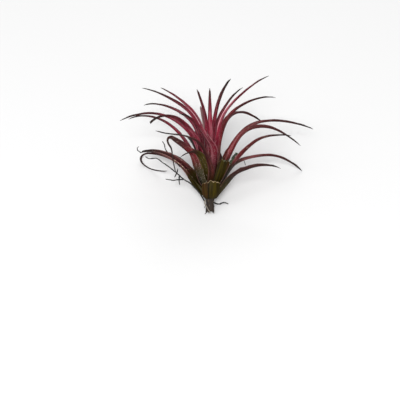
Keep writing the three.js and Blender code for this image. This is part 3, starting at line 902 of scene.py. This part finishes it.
def stem_piece():
    """The stem and its stub: fibrous, ridged lengthwise, worn at the lower end."""
    rng = np.random.default_rng(SEED)
    stub = np.linspace(-STUB_LENGTH, FIRST_LEAF_HEIGHT, STUB_RINGS)
    core = np.linspace(CORE_START, STEM_TOP, CORE_RINGS)
    heights = np.concatenate([stub, core])
    outline = [
        (-STUB_LENGTH, STUB_RADIUS),
        (-STUB_LENGTH * 0.6, STUB_RADIUS * 0.96),
        (-STUB_LENGTH * 0.25, STUB_RADIUS * 0.9),
        (0, STEM_FOOT_RADIUS * 0.9),
        (FIRST_LEAF_HEIGHT, STEM_FOOT_RADIUS),
        (STEM_TOP, stem_radius(STEM_TOP)),
    ]
    profile = np.interp(heights, *zip(*outline))
    angle = np.linspace(0, 2 * math.pi, STEM_SIDES, endpoint=False)
    h, a = np.meshgrid(heights, angle, indexing="ij")
    ridge = sum(
        np.sin(k * a + rng.uniform(0, 6) + 0.25 * np.sin(h * rng.uniform(0.5, 1.2))) * w
        for k, w in ((5, 0.35), (9, 0.4), (14, 0.35), (23, 0.25))
    )
    bands = 0.3 * np.sin(h * 2.4 + np.sin(2 * a + 1.0)) + 0.2 * np.sin(h * 4.1 + 2 * np.sin(a))
    r = profile[:, None] * (1 + STEM_RIDGES * ridge + STEM_BANDS * bands)
    ragged = 0.5 * np.sin(3 * a) + 0.4 * np.sin(7 * a + 1) + 0.3 * np.sin(13 * a)
    ragged = ragged * smooth(-h, END_WEAR_START, STUB_LENGTH)
    points = np.stack([r * np.cos(a), r * np.sin(a), h + END_WEAR * ragged], axis=-1)
    values = {"across": a * GRAIN_RADIUS, "reach": h, "seed": np.full_like(h, rng.random())}
    faces = tube_faces(STUB_RINGS + CORE_RINGS, STEM_SIDES)
    make_piece("stem_core", placed(points), faces, MATERIALS["stem"], values, node="stem")
    return points


def smooth_path(points, step):
    """A smooth path through points, at about even steps."""
    p = np.array(points, float)
    lengths = np.linalg.norm(np.diff(p, axis=0), axis=1)
    count = max(int(lengths.sum() / step), 3)
    share = np.linspace(0, 1, count + 1)
    if len(p) == 2:
        return mix(p[0], p[1], share[:, None])
    return np.stack([spline(p[:, k], share) for k in range(3)], axis=1)


def tube(path, radii, rng, start=0, roughness=TUBE_ROUGHNESS, flatness=1):
    """A thin knobbly tube along a path, round or flat."""
    forward = np.gradient(path, axis=0)
    forward /= np.linalg.norm(forward, axis=1, keepdims=True)
    first = np.cross(forward[0], (0.3, 0.9, 0.1))
    points = []
    for centre, ahead, radius in zip(path, forward, radii):
        first = first - ahead * np.dot(first, ahead)
        first /= np.linalg.norm(first)
        second = np.cross(ahead, first)
        for j in range(TUBE_SIDES):
            angle = 2 * math.pi * j / TUBE_SIDES
            r = radius * (1 + roughness * rng.uniform(-1, 1))
            points.append(centre + first * r * math.cos(angle) + second * r * flatness * math.sin(angle))
    return np.array(points), tube_faces(len(path), TUBE_SIDES, start)


def root_piece(order, name, stretches, material):
    """A wiry root with its branches, kinked here and there and fine at its tips."""
    rng = np.random.default_rng(ROOT_SEED + order)
    points, faces, across, reach = [], [], [], []
    count = 0
    for stretch in stretches:
        path = smooth_path(stretch, ROOT_STEP)
        share = np.linspace(0, 1, len(path))
        along = share * len(path) * ROOT_STEP
        kinks = np.stack([waves(rng, along, ROOT_KINK_WAVE) for _ in range(3)], axis=1)
        path = path + kinks * ROOT_KINK * np.sin(math.pi * share)[:, None]
        radii = mix(*ROOT_RADII, share) * (1 + ROOT_SWELL * waves(rng, along, ROOT_SWELL_WAVE))
        radii[-1] *= ROOT_TIP
        more, more_faces = tube(path, radii, rng, count)
        points.append(more)
        faces += more_faces
        count += len(more)
        across.append(np.tile(np.arange(TUBE_SIDES) * GRAIN_STEP, len(path)))
        reach.append(np.repeat(along, TUBE_SIDES))
    values = {
        "across": np.concatenate(across),
        "reach": np.concatenate(reach),
        "seed": np.full(count, rng.random()),
    }
    points = placed(np.concatenate(points))
    make_piece(name + "_wire", points, faces, MATERIALS[material], values, node=name)


def shred_piece(order, name, on, at, way, radii, material, slot, flatness=1, roughness=0.2):
    """A curl, shred, fibre or strand that hangs on a leaf or the stem, from a point on its skin."""
    rng = np.random.default_rng(SHRED_SEED + order)
    rings = SKINS[on]
    along, across = at
    start = rings[round(along * (len(rings) - 1)), round((across + 1) / 2 * (FACE_POINTS - 1))]
    path = start + smooth_path([(0, 0, 0), *way], SHRED_STEP)
    share = np.linspace(0, 1, len(path))
    reach = share * len(path) * SHRED_STEP
    widths = mix(*radii, share) * (1 + roughness * waves(rng, reach, SHRED_WAVE))
    points, faces = tube(path, widths, rng, roughness=roughness, flatness=flatness)
    values = {
        "across": np.tile(np.arange(TUBE_SIDES) * GRAIN_STEP, len(path)),
        "reach": np.repeat(reach, TUBE_SIDES),
        "seed": np.full(len(points), rng.random()),
    }
    make_piece(name, placed(points), faces, MATERIALS[material], values)


SKINS = {shape["name"]: leaf_piece(shape) for shape in [*LEAVES, *STUMPS]}
SKINS["stem"] = stem_piece()
for order, (root_name, stretches) in enumerate(ROOTS.items()):
    root_piece(order, root_name, stretches, "dry_root" if root_name == "root_dry" else "root")
for order, hanging in enumerate(SHREDS):
    shred_piece(order, **hanging)


# The camera looks down on the lying plant, square to its stem, as the photograph shows it.
PHOTO_SIDE = 400
MM_PER_PIXEL = 0.57
STEM_FOOT_PIXEL = (210, 198)
CAMERA_DISTANCE = 600
SENSOR = 36
FAR_LIMIT = 20

scene = bpy.context.scene
camera_data = bpy.data.cameras.new("camera")
camera_data.sensor_width = SENSOR
camera_data.lens = SENSOR * CAMERA_DISTANCE / (PHOTO_SIDE * MM_PER_PIXEL)
camera_data.clip_end = FAR_LIMIT
camera = bpy.data.objects.new("camera", camera_data)
scene.collection.objects.link(camera)
middle_x = (PHOTO_SIDE / 2 - STEM_FOOT_PIXEL[0]) * MM_PER_PIXEL
middle_z = (STEM_FOOT_PIXEL[1] - PHOTO_SIDE / 2) * MM_PER_PIXEL
camera.location = Vector(placed([(middle_x, -CAMERA_DISTANCE, middle_z)], pressed=False)[0])
camera.rotation_euler = (math.pi / 2 - RECLINE, 0, 0)
scene.camera = camera


# Soft studio light: three square lights round the upright plant, and an even pale surround. Places are in
# upright millimetres, sizes in metres and powers in watts.
LIGHT_TARGET = (0, 0, 25)
LIGHTS = {
    "key": {"place": (-120, -1980, 160), "size": 0.8, "power": 40},
    "side": {"place": (-1300, -1500, 500), "size": 0.9, "power": 8},
    "back": {"place": (300, 420, 1700), "size": 1.1, "power": 10},
}
SURROUND_STRENGTH = 0.36


def area_light(name, place, size, power):
    """A soft square light that faces the plant."""
    data = bpy.data.lights.new(name, "AREA")
    data.size = size
    data.energy = power
    light = bpy.data.objects.new(name, data)
    scene.collection.objects.link(light)
    light.location = Vector(placed([place], pressed=False)[0])
    target = Vector(placed([LIGHT_TARGET])[0])
    light.rotation_euler = (target - light.location).to_track_quat("-Z", "Y").to_euler()


for light_name, settings in LIGHTS.items():
    area_light(light_name, **settings)

world = bpy.data.worlds.new("studio")
world.use_nodes = True
surround = world.node_tree.nodes["Background"]
surround.inputs["Color"].default_value = (1, 1, 1, 1)
surround.inputs["Strength"].default_value = SURROUND_STRENGTH
scene.world = world
scene.view_settings.view_transform = "Standard"

# A plain pale floor.
FLOOR_SIDE = 3
FLOOR_SHADE = 0.74
FLOOR_ROUGHNESS = 0.9

edge = FLOOR_SIDE / 2
floor_corners = [(-edge, -edge, 0), (edge, -edge, 0), (edge, edge, 0), (-edge, edge, 0)]
floor_data = bpy.data.meshes.new("floor")
floor_data.from_pydata(floor_corners, [], [(0, 1, 2, 3)])
floor_shade = (FLOOR_SHADE, FLOOR_SHADE, FLOOR_SHADE, 1)
floor_data.materials.append(Shader("pale_floor").finish(floor_shade, FLOOR_ROUGHNESS))
floor = bpy.data.objects.new("floor", floor_data)
scene.collection.objects.link(floor)
